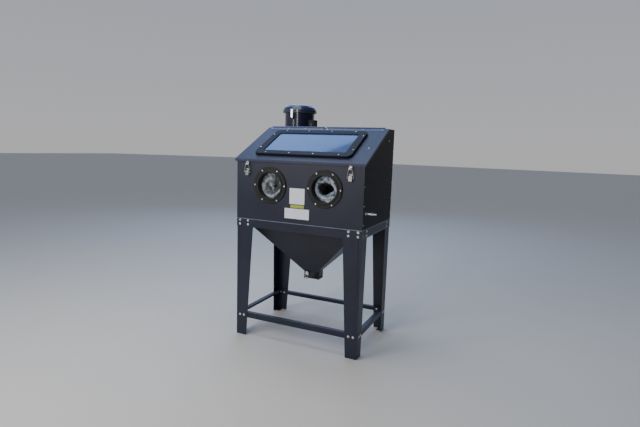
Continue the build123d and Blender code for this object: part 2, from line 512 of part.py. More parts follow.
brk = drill(brk, stay_pts, (0, 0, 1), 2.1, 5)
node("strut_lid_bracket", LID * brk)
items = []
for p in stay_pts:
    items += bolt(p, (0, 0, 1), 4.2, 2.2, 2, 8)
node("strut_bracket_bolts", LID * group(items))

# ---------------------------------------------------------------- inside the chamber
lamp = bx(-250, 250, 520, 560, 1499, 1511) + bx(-250, -244, 525, 555, 1470, 1499) + bx(244, 250, 525, 555, 1470, 1499)
node("lamp_housing", lamp)
node("lamp_tube", cyl((-244, 540, 1484), (1, 0, 0), 10, 488))

GX, GY, GZ = -436.0, 470.0, 1190.0
hook = bx(-468, -465, GY - 22, GY + 22, GZ - 20, GZ + 60) + bx(-465, GX + 20, GY - 22, GY - 18.5, GZ - 6, GZ) + bx(-465, GX + 20, GY + 18.5, GY + 22, GZ - 6, GZ) + bx(GX + 16.6, GX + 20, GY - 18.5, GY + 18.5, GZ - 6, GZ + 6)
node("gun_hook", hook)
gun = cyl((GX, GY, GZ - 70), (0, 0, 1), 15, 125) + cyl((GX, GY, GZ + 0.2), (0, 0, 1), 16.2, 30)
gun += Plane(origin=(GX, GY + 8, GZ + 46), z_dir=(0, 0.94, -0.34)) * Box(18, 24, 100, align=(Align.CENTER, Align.CENTER, Align.MIN))
gun -= bx(GX - 5.2, GX + 5.2, GY - 30, GY - 8, GZ + 34, GZ + 50)
gun += bx(GX - 9, GX - 5.4, GY - 24, GY - 10, GZ + 36, GZ + 48) + bx(GX + 5.4, GX + 9, GY - 24, GY - 10, GZ + 36, GZ + 48)
gun -= cyl((GX - 20, GY - 19, GZ + 42), (1, 0, 0), 2.05, 40)
gun -= cyl((GX, GY, GZ - 80), (0, 0, 1), 7.2, 100)
node("gun_body", gun)
node("gun_trigger_pin", cyl((GX - 9.5, GY - 19, GZ + 42), (1, 0, 0), 2.0, 19))
node("gun_nozzle", tube((GX, GY, GZ - 100), (0, 0, 1), 7.1, 3.2, 60) + tube((GX, GY, GZ - 78), (0, 0, 1), 13, 7.0, 7.9))
trig = (bx(GX - 4.9, GX + 4.9, GY - 27, GY - 23.5, GZ + 3, GZ + 40) + cyl((GX - 4.9, GY - 19, GZ + 42), (1, 0, 0), 6, 9.8) + bx(GX - 4.9, GX + 4.9, GY - 26, GY - 19, GZ + 36, GZ + 42))
trig -= cyl((GX - 12, GY - 19, GZ + 42), (1, 0, 0), 2.05, 24)
node("gun_trigger", trig)
node("media_pickup", tube((330, 498, 905), tuple(pk), 12, 9, pk_len))

node("exhaust_baffle", bx(CAN_X - 62, CAN_X + 62, D - 30, D - 28.5, 1135, 1265) + bx(CAN_X - 62, CAN_X - 58, D - 28.5, D - 2, 1190, 1210) + bx(CAN_X + 58, CAN_X + 62, D - 28.5, D - 2, 1190, 1210))

# ---------------------------------------------------------------- dust collector
node("collector_duct", tube((CAN_X, D - 8, 1200), (0, 1, 0), 38, 36, 46) + tube((CAN_X, D, 1200), (0, 1, 0), 48, 38, 3))
can = cyl((CAN_X, CAN_Y, 1150), (0, 0, 1), CAN_R, 493) - cyl((CAN_X, CAN_Y, 1152), (0, 0, 1), CAN_R - 2, 500)
can += tube((CAN_X, CAN_Y, 1640), (0, 0, 1), 130, CAN_R - 2, 3) + tube((CAN_X, CAN_Y, 1600), (0, 0, 1), CAN_R - 1, 106, 3)
can -= cyl((CAN_X, CAN_Y - 150, 1200), (0, 1, 0), 38.3, 100)
node("collector_canister", can)
br = bx(-470, -290, D, D + 3, 1380, 1510) + bx(-443, -440, D + 3, 700, 1400, 1490) + bx(-320, -317, D + 3, 700, 1400, 1490)
br -= cyl((CAN_X, CAN_Y, 1300), (0, 0, 1), CAN_R + 0.15, 300)
br = drill(br, brk_pts, (0, 1, 0), 3.3, 8)
node("collector_bracket", br)
items = []
for p in brk_pts:
    items += bolt(p, (0, 1, 0), 5.6, 4, 3, 12, nut_at=5.2, washer=1.0)
node("bracket_bolts", group(items))
node("filter_cartridge", tube((CAN_X, CAN_Y, 1252), (0, 0, 1), 90, 62, 351) + tube((CAN_X, CAN_Y, 1603), (0, 0, 1), 116, 62, 3) + cyl((CAN_X, CAN_Y, 1249), (0, 0, 1), 90, 3))

cp = [(0, 1709), (70, 1707.5), (108, 1700), (128, 1685), (139, 1664), (139, 1645.5), (136, 1645.5), (136, 1663), (125.5, 1683), (106.5, 1697.4), (69.5, 1704.5), (0, 1706)]
face = make_face(Polyline(*[(a, 0, b) for a, b in cp], close=True))
node("collector_cap", Pos(CAN_X, CAN_Y, 0) * revolve(face, axis=Axis.Z))
node("motor_plate", tube((CAN_X, CAN_Y, 1652), (0, 0, 1), 135.7, 6, 3))
node("cap_gasket", tube((CAN_X, CAN_Y, 1643.6), (0, 0, 1), 131, 119, 8.4))
node("fan_motor", cyl((CAN_X, CAN_Y, 1655), (0, 0, 1), 58, 38) - cyl((CAN_X, CAN_Y, 1654), (0, 0, 1), 4.05, 30))
fan = cyl((CAN_X, CAN_Y, 1620), (0, 0, 1), 4.0, 58) + cyl((CAN_X, CAN_Y, 1622), (0, 0, 1), 11, 24) + cyl((CAN_X, CAN_Y, 1643), (0, 0, 1), 54, 2)
for k in range(7):
    fan += Pos(CAN_X, CAN_Y, 0) * Rot(0, 0, k * 360 / 7) * bx(9, 53, -1, 1, 1624, 1643.2)
node("fan_impeller", fan)
for nm, ang in (("front", -90), ("rear", 66)):
    R = Pos(CAN_X, CAN_Y, 1600) * Rot(0, 0, ang)
    base = None
    for s in (-1, 1):
        e0, e1 = sorted((s * 5.2, s * 9))
        b = bx(118.8, 137.5, e0, e1, -4, 4) + cyl((137.5, e0, 0), (0, 1, 0), 4, 3.8)
        base = b if base is None else base + b
    base += bx(118.8, 121, -9, 9, -14, 6)
    base -= cyl((CAN_R * 0, 0, -30), (0, 0, 1), CAN_R - 0.3, 60)
    base -= cyl((137.5, -12, 0), (0, 1, 0), 2.05, 24)
    clip = cyl((137.5, -4.8, 0), (0, 1, 0), 4.5, 9.6) + bx(141.2, 142.8, -8, 8, 5, 66) + bx(140, 142.8, -4.8, 4.8, 0, 6) + bx(142.8, 148, -8, 8, 64.4, 66)
    clip -= cyl((137.5, -12, 0), (0, 1, 0), 2.05, 24)
    node("cap_clip_base_" + nm, R * (group([base, cyl((137.5, -9.5, 0), (0, 1, 0), 2.0, 19)])))
    node("cap_clip_" + nm, R * clip)

# ---------------------------------------------------------------- switch box
SX0, SX1, SY1, SZ0, SZ1 = -229.0, -181.0, 677.0, 1440.0, 1581.0
bxs = bx(SX0, SX1, D, SY1, SZ0, SZ1) - bx(SX0 + 2, SX1 - 2, D + 2, SY1 - 2, SZ0 + 2, SZ1 - 2)
SC = (SX0 + SX1) / 2
bxs -= bx(SC - 12, SC + 12, D - 2, D + 4, 1527, 1559)
bxs -= cyl((SC, 650, 1436), (0, 0, 1), 8.1, 8)
node("switch_box", bxs)
rk = bx(SC - 11, SC + 11, D - 5, D + 9, 1528.4, 1557.6) - cyl((SC - 20, D + 3, 1543), (1, 0, 0), 2.05, 40)
node("rocker_switch", rk)
node("rocker_pin", group([cyl((SC - 13.5, D + 3, 1543), (1, 0, 0), 2.0, 27), bx(SC - 17, SC - 13.5, D + 2, D + 8, 1537, 1549), bx(SC + 13.5, SC + 17, D + 2, D + 8, 1537, 1549)]))
node("cable_gland", tube((SC, 650, 1424), (0, 0, 1), 8.0, 4.5, 20) + (hexa((SC, 650, 1432), (0, 0, 1), 12, 8) - cyl((SC, 650, 1430), (0, 0, 1), 8.0, 12)))

# ---------------------------------------------------------------- pieces of one kind share a node, as separate solids
SHARED = {
    "skirt_rails": ["skirt_rail_front", "skirt_rail_rear", "skirt_rail_left", "skirt_rail_right"],
    "front_legs": ["leg_front_left", "leg_front_right"],
    "rear_legs": ["leg_rear_left", "leg_rear_right"],
    "lower_rails": ["lower_rail_front", "lower_rail_rear", "lower_rail_left", "lower_rail_right"],
    "frame_bolts": ["leg_bolts", "rail_bolts"],
    "panel_screws": ["side_screws", "hinge_screws_body"],
    "lid_screws": ["hinge_screws_lid", "strut_bracket_bolts"],
    "outlet_fittings": ["outlet_hinge", "outlet_hinge_pin", "outlet_latch_base", "outlet_latch_pin"],
    "latch_bases": ["latch_bases", "latch_pins"],
    "arm_port_rings": ["arm_port_ring_left", "arm_port_ring_right"],
    "port_fasteners": ["port_bolts", "glove_clamp_bands"],
    "label_plates": ["label_upper", "label_strip", "label_lower"],
    "air_inlet": ["air_inlet", "air_inlet_nut"],
    "window_gaskets": ["window_gasket_lower", "window_gasket_upper"],
    "hinge_leaves_body": ["hinge_leaves_body", "hinge_pins"],
    "gun_body": ["gun_body", "gun_trigger_pin"],
    "exhaust_duct": ["collector_duct", "exhaust_baffle"],
    "collector_bracket": ["collector_bracket", "bracket_bolts"],
    "fan_motor": ["fan_motor", "motor_plate", "cap_gasket"],
    "cap_clip_bases": ["cap_clip_base_front", "cap_clip_base_rear"],
    "switch_box": ["switch_box", "rocker_pin", "cable_gland"],
    "strut_foot": ["strut_foot_pin"],
    "trap_door": ["trap_door", "trap_door_gasket"],
    "collector_canister": ["collector_canister", "cap_clip_bases"],
}
for name, members in SHARED.items():
    shapes = [NODES.pop(m) for m in members]
    NODES[name] = group(shapes) if len(shapes) > 1 else shapes[0]

# ---------------------------------------------------------------- write one file per node, origin on the floor under the middle
lo, hi = [1e9] * 3, [-1e9] * 3
for name, shape in NODES.items():
    moved = Pos(-OX, -OY, 0) * shape
    bb = moved.bounding_box()
    for i, (a, b) in enumerate(zip(bb.min, bb.max)):
        lo[i] = min(lo[i], a)
        hi[i] = max(hi[i], b)
    export_step(moved, "parts/" + name + ".step")
print(len(NODES), "nodes; envelope", [round(v, 2) for v in lo], [round(v, 2) for v in hi])
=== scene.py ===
import bpy, bmesh, json, math
import numpy as np
from mathutils import Vector, Matrix, noise


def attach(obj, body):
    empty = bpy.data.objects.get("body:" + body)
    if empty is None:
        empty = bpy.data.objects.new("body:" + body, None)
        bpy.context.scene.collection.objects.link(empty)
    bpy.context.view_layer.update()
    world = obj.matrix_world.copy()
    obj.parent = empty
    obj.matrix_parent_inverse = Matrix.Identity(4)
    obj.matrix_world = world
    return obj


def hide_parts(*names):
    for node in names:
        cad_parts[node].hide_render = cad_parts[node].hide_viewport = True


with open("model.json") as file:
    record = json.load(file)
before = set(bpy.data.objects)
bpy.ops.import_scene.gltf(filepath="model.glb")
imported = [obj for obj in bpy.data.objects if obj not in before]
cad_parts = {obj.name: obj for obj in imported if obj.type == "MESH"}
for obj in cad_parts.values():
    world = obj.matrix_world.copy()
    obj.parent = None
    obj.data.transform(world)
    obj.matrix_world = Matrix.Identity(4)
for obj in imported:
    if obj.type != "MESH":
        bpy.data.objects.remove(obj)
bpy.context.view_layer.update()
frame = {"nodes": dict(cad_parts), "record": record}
N = frame["nodes"]
OX, OY = 0.012, 0.437          # origin of the row frame in the cabinet's own front-left layout
scene = bpy.context.scene


def P(x, y, z):
    """A point given from the middle of the front panel's foot line, in metres."""
    return Vector((x - OX, y - OY, z))


# ------------------------------------------------------------------ material tools
class M:
    def __init__(self, name):
        self.m = bpy.data.materials.new(name)
        self.m.use_nodes = True
        self.t = self.m.node_tree
        self.b = self.t.nodes["Principled BSDF"]
        self.tc = self.new("ShaderNodeTexCoord")

    def new(self, kind, **kw):
        n = self.t.nodes.new(kind)
        for k, v in kw.items():
            setattr(n, k, v)
        return n

    def link(self, a, b):
        self.t.links.new(a, b)

    def noise(self, scale, detail=4.0, rough=0.55, stretch=None, dist=0.0):
        n = self.new("ShaderNodeTexNoise")
        n.inputs["Scale"].default_value = scale
        n.inputs["Detail"].default_value = detail
        n.inputs["Roughness"].default_value = rough
        n.inputs["Distortion"].default_value = dist
        src = self.tc.outputs["Object"]
        if stretch:
            mp = self.new("ShaderNodeMapping")
            mp.inputs["Scale"].default_value = stretch
            self.link(src, mp.inputs["Vector"])
            src = mp.outputs["Vector"]
        self.link(src, n.inputs["Vector"])
        return n.outputs["Fac"]

    def ramp(self, fac, stops):
        r = self.new("ShaderNodeValToRGB")
        el = r.color_ramp.elements
        while len(el) < len(stops):
            el.new(0.5)
        for e, (p, c) in zip(el, stops):
            e.position = p
            e.color = (c, c, c, 1) if isinstance(c, (int, float)) else (*c, 1)
        self.link(fac, r.inputs["Fac"])
        return r.outputs["Color"]

    def mix(self, fac, a, b, mode="MIX"):
        n = self.new("ShaderNodeMix", data_type="RGBA", blend_type=mode)
        for i, v in ((0, fac), (6, a), (7, b)):
            if isinstance(v, bpy.types.NodeSocket):
                self.link(v, n.inputs[i])
            elif isinstance(v, (int, float)):
                n.inputs[i].default_value = v if i == 0 else (v, v, v, 1)
            else:
                n.inputs[i].default_value = (*v, 1)
        return n.outputs[2]

    def math(self, op, a, b=0.0, clamp=False):
        n = self.new("ShaderNodeMath", operation=op, use_clamp=clamp)
        for i, v in ((0, a), (1, b)):
            if isinstance(v, bpy.types.NodeSocket):
                self.link(v, n.inputs[i])
            else:
                n.inputs[i].default_value = v
        return n.outputs[0]

    def edge(self, radius=0.002, lo=0.0, hi=0.25):
        """1 on sharp convex and concave edges, 0 on flats."""
        bv = self.new("ShaderNodeBevel", samples=4)
        bv.inputs["Radius"].default_value = radius
        g = self.new("ShaderNodeNewGeometry")
        d = self.new("ShaderNodeVectorMath", operation="DOT_PRODUCT")
        self.link(bv.outputs["Normal"], d.inputs[0])
        self.link(g.outputs["Normal"], d.inputs[1])
        inv = self.math("SUBTRACT", 1.0, d.outputs["Value"])
        return self.math("MULTIPLY", inv, 1.0 / max(hi, 1e-3), clamp=True)

    def upward(self):
        g = self.new("ShaderNodeNewGeometry")
        s = self.new("ShaderNodeSeparateXYZ")
        self.link(g.outputs["Normal"], s.inputs[0])
        return self.math("MAXIMUM", s.outputs["Z"], 0.0)

    def height(self):
        s = self.new("ShaderNodeSeparateXYZ")
        self.link(self.tc.outputs["Object"], s.inputs[0])
        return s.outputs["Z"]

    def bump(self, fac, strength, distance, under=None):
        n = self.new("ShaderNodeBump")
        n.inputs["Strength"].default_value = strength
        n.inputs["Distance"].default_value = distance
        self.link(fac, n.inputs["Height"])
        if under:
            self.link(under, n.inputs["Normal"])
        return n.outputs["Normal"]

    def set(self, **kw):
        names = {"color": "Base Color", "rough": "Roughness", "metal": "Metallic", "normal": "Normal", "coat": "Coat Weight",
                 "coat_rough": "Coat Roughness", "spec": "Specular IOR Level", "sheen": "Sheen Weight", "ior": "IOR",
                 "trans": "Transmission Weight", "emit": "Emission Color", "emit_s": "Emission Strength", "alpha": "Alpha",
                 "sheen_rough": "Sheen Roughness", "aniso": "Anisotropic"}
        for k, v in kw.items():
            i = self.b.inputs[names[k]]
            if isinstance(v, bpy.types.NodeSocket):
                self.link(v, i)
            elif isinstance(v, (tuple, list)):
                i.default_value = (*v, 1)
            else:
                i.default_value = v
        return self


def srgb(r, g, b):
    f = lambda c: (c / 255) / 12.92 if c / 255 <= 0.04045 else ((c / 255 + 0.055) / 1.055) ** 2.4
    return (f(r), f(g), f(b))


def powder(name, col, rough=0.42, dusty=0.12, grain=1.0, wear=0.35, seam=None, spec=0.5):
    m = M(name)
    big = m.noise(3.2, 5, 0.6)
    mid = m.noise(38, 4, 0.6)
    fine = m.noise(850, 2, 0.5)
    speck = m.noise(260, 3, 0.7)
    dark = tuple(c * 0.82 for c in col)
    light = tuple(min(1, c * 1.22 + 0.004) for c in col)
    base = m.mix(m.ramp(big, [(0.3, 0.0), (0.7, 1.0)]), dark, light)
    base = m.mix(m.math("MULTIPLY", m.ramp(speck, [(0.56, 0.0), (0.72, 1.0)]), 0.22), base, tuple(c * 1.7 + 0.01 for c in col))
    dust = m.math("MULTIPLY", m.math("MULTIPLY", m.upward(), dusty), m.ramp(mid, [(0.35, 0.25), (0.75, 1.0)]))
    base = m.mix(dust, base, srgb(150, 150, 150))
    e = m.edge(0.0022, hi=0.3)
    chip = m.math("MULTIPLY", m.math("MULTIPLY", e, m.ramp(m.noise(55, 5, 0.7), [(0.42, 0.25), (0.62, 1.0)])), wear)
    base = m.mix(chip, base, tuple(min(1, c * 2.6 + 0.05) for c in col))
    if seam:                                               # (height, half width, colour): either a painted shade line in the seam's gap or a painted highlight along an edge beside it
        z0, half, painted_line_colour = seam
        painted_line_mask = m.math("SUBTRACT", 1.0, m.math("MULTIPLY", m.math("ABSOLUTE", m.math("SUBTRACT", m.height(), z0)), 1 / half), clamp=True)
        painted_line_mask = m.math("MULTIPLY", painted_line_mask, m.ramp(m.noise(14, 4, 0.6), [(0.3, 0.55), (0.6, 1.0)]))
        base = m.mix(painted_line_mask, base, painted_line_colour)
    r = m.math("ADD", m.math("MULTIPLY", m.math("SUBTRACT", mid, 0.5), 0.16), rough)
    r = m.math("ADD", r, m.math("MULTIPLY", dust, 0.5), clamp=True)
    n = m.bump(fine, 0.16 * grain, 0.0006)
    n = m.bump(m.noise(7, 2, 0.4), 0.09, 0.004, n)
    m.set(color=base, rough=r, normal=n, spec=spec)
    return m.m


def zinc(name, col, rough=0.26, tint=0.25):
    m = M(name)
    a = m.noise(90, 5, 0.6)
    b = m.noise(400, 3, 0.6, stretch=(1, 1, 0.15))
    base = m.mix(m.math("MULTIPLY", m.ramp(a, [(0.35, 0.0), (0.68, 1.0)]), tint), col, tuple(c * k for c, k in zip(col, (0.72, 0.74, 0.70))))
    e = m.edge(0.0009, hi=0.3)
    base = m.mix(m.math("MULTIPLY", e, 0.4), base, tuple(min(1, c * 1.25) for c in col))
    r = m.math("ADD", m.math("MULTIPLY", b, 0.22), rough - 0.08, clamp=True)
    m.set(color=base, rough=r, metal=1.0, normal=m.bump(b, 0.08, 0.0003))
    return m.m


def rubber(name, col, rough=0.6):
    m = M(name)
    a = m.noise(24, 5, 0.6)
    f = m.noise(700, 3, 0.6)
    base = m.mix(m.ramp(a, [(0.3, 0.0), (0.75, 1.0)]), col, tuple(c * 1.6 + 0.006 for c in col))
    dust = m.math("MULTIPLY", m.math("ADD", m.math("MULTIPLY", m.upward(), 0.30), m.math("MULTIPLY", m.edge(0.003, hi=0.4), 0.14)), m.ramp(m.noise(60, 5, 0.7), [(0.35, 0.3), (0.7, 1.0)]))
    base = m.mix(dust, base, srgb(120, 116, 108))
    r = m.math("ADD", m.math("MULTIPLY", a, 0.2), rough - 0.1, clamp=True)
    n = m.bump(f, 0.18, 0.0005)
    m.set(color=base, rough=r, normal=n, spec=0.4)
    return m.m


COAT = srgb(21, 27, 47)
MAT = {}
MAT["powder_coat"] = powder("powder_coat", COAT, 0.40)
# a lighter, bluer copy of the cabinet paint: painted reflection of the blue sky light on the sloping lid and top
MAT["lid_coat_sky_lit"] = powder("lid_coat_sky_lit", srgb(36, 46, 78), 0.40)
# front panel paint with a painted shade line along its seam with the skirt rail
MAT["panel_seam_shade"] = powder("panel_seam_shade", COAT, 0.40, seam=(0.8625, 0.0042, srgb(4, 4, 6)))
# skirt rail paint with a painted highlight along its top edge just under the seam
MAT["skirt_seam_highlight"] = powder("skirt_seam_highlight", COAT, 0.40, seam=(0.8585, 0.0030, srgb(150, 158, 178)))
# a darker copy of the cabinet paint with less specular: painted shade for the side turned away from the lamps, plus a
# painted shade line at the seam
MAT["side_coat_shaded"] = powder("side_coat_shaded", srgb(9, 11, 18), 0.50, seam=(0.8625, 0.0042, srgb(3, 3, 4)), spec=0.18)
# black gloss paint given a lighter blue-grey base: painted reflection of the sky light on the cap
MAT["cap_coat_sky_lit"] = powder("cap_coat_sky_lit", srgb(40, 50, 76), 0.17, dusty=0.0, grain=0.4, wear=0.5, spec=0.9)
MAT["hopper_coat"] = powder("hopper_coat", srgb(33, 36, 46), 0.46, dusty=0.15)
MAT["frame_coat"] = powder("frame_coat", srgb(16, 19, 30), 0.52, dusty=0.03, wear=0.4, spec=0.25)
MAT["zinc"] = zinc("zinc", (0.80, 0.80, 0.80), 0.26)
MAT["latch_zinc"] = zinc("latch_zinc", (0.62, 0.62, 0.63), 0.17, 0.5)
MAT["chrome"] = zinc("chrome", (0.86, 0.86, 0.87), 0.14, 0.1)
MAT["steel"] = zinc("steel", (0.47, 0.48, 0.50), 0.38, 0.6)
MAT["hinge_steel"] = powder("hinge_steel", srgb(84, 98, 134), 0.36, wear=0.4)
MAT["black_rubber"] = rubber("black_rubber", srgb(25, 23, 22), 0.62)
MAT["gloss_coat"] = powder("gloss_coat", srgb(34, 40, 60), 0.16, dusty=0.04, grain=0.5)
MAT["cast_aluminium"] = zinc("cast_aluminium", (0.55, 0.55, 0.55), 0.5, 0.5)
MAT["ceramic"] = rubber("ceramic", srgb(205, 198, 180), 0.7)
MAT["motor_shell"] = zinc("motor_shell", (0.35, 0.35, 0.37), 0.45, 0.4)
MAT["black_plastic"] = rubber("black_plastic", srgb(24, 24, 26), 0.4)


def filter_paper():
    m = M("filter_paper")
    g = m.noise(300, 4, 0.7)
    w = m.new("ShaderNodeTexWave", wave_type="BANDS", bands_direction="X")
    w.inputs["Scale"].default_value = 40
    w.inputs["Distortion"].default_value = 1.2
    m.link(m.tc.outputs["Object"], w.inputs["Vector"])
    base = m.mix(m.ramp(w.outputs["Fac"], [(0.2, 0.0), (0.8, 1.0)]), srgb(150, 142, 118), srgb(214, 206, 184))
    m.set(color=base, rough=m.math("ADD", m.math("MULTIPLY", g, 0.2), 0.75, clamp=True), normal=m.bump(w.outputs["Fac"], 0.6, 0.003))
    return m.m


MAT["filter_paper"] = filter_paper()


def glass():
    m = M("window_pane")
    smear = m.noise(9, 5, 0.65, stretch=(1, 2.4, 1))
    haze = m.noise(120, 4, 0.7)
    # the pale blue base colour is a painted reflection of the sky light; the smear noise varies it like dirt on the
    # pane
    base = m.mix(m.ramp(smear, [(0.3, 0.0), (0.8, 1.0)]), srgb(66, 96, 164), srgb(86, 116, 180))
    r = m.math("ADD", m.math("MULTIPLY", smear, 0.10), m.math("MULTIPLY", haze, 0.05), clamp=True)
    m.set(color=base, rough=r, trans=0.35, ior=1.5, coat=1.0, coat_rough=0.04, normal=m.bump(smear, 0.03, 0.002))
    return m.m


MAT["window"] = glass()


def lamp():
    m = M("lamp_glass")
    g = m.noise(60, 4, 0.6)
    m.set(color=m.mix(g, srgb(225, 228, 225), srgb(245, 246, 240)), rough=m.math("ADD", m.math("MULTIPLY", g, 0.15), 0.3), normal=m.bump(g, 0.05, 0.001))
    return m.m


MAT["lamp_glass"] = lamp()


def paper(name, col, bars=None):
    """A printed film plate; bars are plain grey rules, not lettering."""
    m = M(name)
    g = m.noise(40, 5, 0.6)
    f = m.noise(900, 2, 0.5)
    base = m.mix(m.math("MULTIPLY", m.ramp(g, [(0.35, 0.0), (0.8, 1.0)]), 0.5), col, tuple(c * 0.86 for c in col))
    if bars:
        z0, pitch, x0, x1, share = bars
        s = m.new("ShaderNodeSeparateXYZ")
        m.link(m.tc.outputs["Object"], s.inputs[0])
        row = m.math("DIVIDE", m.math("SUBTRACT", s.outputs["Z"], z0), pitch)
        fr = m.math("FRACT", row)
        on = m.math("LESS_THAN", fr, share)
        inx = m.math("MULTIPLY", m.math("GREATER_THAN", s.outputs["X"], x0 - OX), m.math("LESS_THAN", s.outputs["X"], x1 - OX))
        on = m.math("MULTIPLY", on, inx)
        words = m.new("ShaderNodeTexNoise")
        words.inputs["Scale"].default_value = 160
        words.inputs["Detail"].default_value = 1
        mp = m.new("ShaderNodeMapping")
        mp.inputs["Scale"].default_value = (1, 1, 0.01)
        m.link(m.tc.outputs["Object"], mp.inputs["Vector"])
        m.link(mp.outputs["Vector"], words.inputs["Vector"])
        on = m.math("MULTIPLY", on, 0.30)
        base = m.mix(on, base, tuple(c * 0.35 for c in col))
    m.set(color=base, rough=m.math("ADD", m.math("MULTIPLY", g, 0.15), 0.38), normal=m.bump(f, 0.05, 0.0003), spec=0.5)
    return m.m


def fabric(name, dark, mid_c, light):
    m = M(name)
    big = m.noise(16, 5, 0.65)
    mid = m.noise(70, 5, 0.7)
    w1 = m.new("ShaderNodeTexWave", wave_type="BANDS", bands_direction="X")
    w1.inputs["Scale"].default_value = 330
    w2 = m.new("ShaderNodeTexWave", wave_type="BANDS", bands_direction="Z")
    w2.inputs["Scale"].default_value = 330
    for w in (w1, w2):
        w.inputs["Distortion"].default_value = 1.0
        w.inputs["Detail"].default_value = 1
        m.link(m.tc.outputs["Object"], w.inputs["Vector"])
    weave = m.math("MULTIPLY", w1.outputs["Fac"], w2.outputs["Fac"])
    # the per-vertex fold value paints shade in the creases and highlight on the crests, with random mottling
    at = m.new("ShaderNodeAttribute")
    at.attribute_name = "fold_shading"
    f = m.math("ADD", at.outputs["Fac"], m.math("MULTIPLY", m.math("SUBTRACT", mid, 0.5), 0.35), clamp=True)
    base = m.ramp(f, [(0.05, dark), (0.42, mid_c), (0.85, light)])
    base = m.mix(m.math("MULTIPLY", m.ramp(big, [(0.4, 0.0), (0.72, 1.0)]), 0.3), base, dark)
    base = m.mix(m.math("MULTIPLY", weave, 0.06), base, srgb(235, 238, 238))
    # painted shade inside the sleeve: the cloth goes nearly black with depth behind the ring
    pos = m.new("ShaderNodeSeparateXYZ")
    m.link(m.tc.outputs["Object"], pos.inputs[0])
    depth_shade = m.math("MULTIPLY", m.math("SUBTRACT", pos.outputs["Y"], 0.051 - OY), 1 / 0.022, clamp=True)
    base = m.mix(m.math("MULTIPLY", depth_shade, 0.93), base, srgb(26, 26, 28))
    n = m.bump(weave, 0.25, 0.0004)
    n = m.bump(mid, 0.6, 0.003, n)
    m.set(color=base, rough=m.math("ADD", m.math("MULTIPLY", mid, 0.2), 0.50, clamp=True), normal=n, sheen=0.1, sheen_rough=0.5)
    return m.m


MAT["glove_fabric"] = fabric("glove_fabric", srgb(70, 78, 88), srgb(150, 162, 174), srgb(236, 242, 250))
MAT["glove_fabric_left"] = fabric("glove_fabric_left", srgb(62, 66, 70), srgb(118, 124, 128), srgb(206, 212, 216))
MAT["label_upper"] = paper("label_upper", srgb(250, 250, 254), bars=(1.002, 0.0085, -0.045, 0.052, 0.28))
MAT["label_lower"] = paper("label_lower", srgb(248, 248, 252), bars=(0.900, 0.011, -0.030, 0.040, 0.22))
MAT["label_strip"] = paper("label_strip", srgb(178, 190, 70))

BY_NODE = {}
for s in frame["record"]["subparts"]:
    BY_NODE[s["node"]] = s["material_slot"]
OVERRIDE = {"hopper": "hopper_coat", "trap_door": "hopper_coat", "window_frame": "frame_coat", "hinge_leaves_body": "hinge_steel", "hinge_leaves_lid": "hinge_steel",
            "lid_panel": "lid_coat_sky_lit", "top_panel": "lid_coat_sky_lit", "front_panel": "panel_seam_shade", "skirt_rails": "skirt_seam_highlight", "right_side_panel": "side_coat_shaded",
            "collector_cap": "cap_coat_sky_lit", "latch_bases": "latch_zinc", "latch_keepers": "latch_zinc", "latch_lever_left": "latch_zinc",
            "latch_lever_right": "latch_zinc", "latch_bail_left": "latch_zinc", "latch_bail_right": "latch_zinc", "label_plates": "label_upper", "switch_box": "frame_coat"}
for n, o in N.items():
    key = OVERRIDE.get(n, BY_NODE.get(n, "powder_coat"))
    mat = MAT.get(key, MAT["powder_coat"])
    o.data.materials.clear()
    o.data.materials.append(mat)


# ------------------------------------------------------------------ shading of the CAD nodes: small real edge radii
def soften(o, width, angle=32):
    w = o.modifiers.new("weld", "WELD")
    w.merge_threshold = 0.00001
    b = o.modifiers.new("edge", "BEVEL")
    b.width = width
    b.segments = 2
    b.limit_method = "ANGLE"
    b.angle_limit = math.radians(angle)
    b.use_clamp_overlap = True
    b.harden_normals = False
    n = o.modifiers.new("normals", "WEIGHTED_NORMAL")
    n.keep_sharp = False
    n.weight = 60


EDGE = {"front_panel": 0.0006, "left_side_panel": 0.0006, "right_side_panel": 0.0006, "top_panel": 0.0006, "back_panel": 0.0006, "lid_panel": 0.0008,
        "skirt_rails": 0.0006, "front_legs": 0.0009, "rear_legs": 0.0009, "lower_rails": 0.0006, "hopper": 0.0006, "trap_door": 0.0005,
        "switch_box": 0.0008}
for n, w in EDGE.items():
    soften(N[n], w)


def link_mesh(name, verts, faces, mat, smooth=True):
    me = bpy.data.meshes.new(name)
    me.from_pydata([tuple(v) for v in verts], [], faces)
    me.update()
    o = bpy.data.objects.new(name, me)
    scene.collection.objects.link(o)
    me.materials.append(mat)
    if smooth:
        me.polygons.foreach_set("use_smooth", [True] * len(me.polygons))
    return o


# ------------------------------------------------------------------ front plates
def plate(name, x0, x1, z0, z1, mat, r=0.002, t=0.00038):
    bm = bmesh.new()
    pts = []
    for cx, cz, a0 in ((x1 - r, z1 - r, 0), (x0 + r, z1 - r, 90), (x0 + r, z0 + r, 180), (x1 - r, z0 + r, 270)):
        for k in range(6):
            a = math.radians(a0 + 90 * k / 5)
            pts.append((cx + r * math.cos(a), cz + r * math.sin(a)))
    vs = [bm.verts.new(P(x, -t, z)) for x, z in pts]
    vb = [bm.verts.new(P(x, -0.00002, z)) for x, z in pts]
    f = bm.faces.new(vs)
    bm.faces.new(list(reversed(vb)))
    k = len(vs)
    for i in range(k):
        bm.faces.new((vs[(i + 1) % k], vs[i], vb[i], vb[(i + 1) % k]))
    bmesh.ops.recalc_face_normals(bm, faces=bm.faces)
    me = bpy.data.meshes.new(name)
    bm.to_mesh(me)
    bm.free()
    o = bpy.data.objects.new(name, me)
    scene.collection.objects.link(o)
    me.materials.append(mat)
    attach(o, "cabinet")
    return o


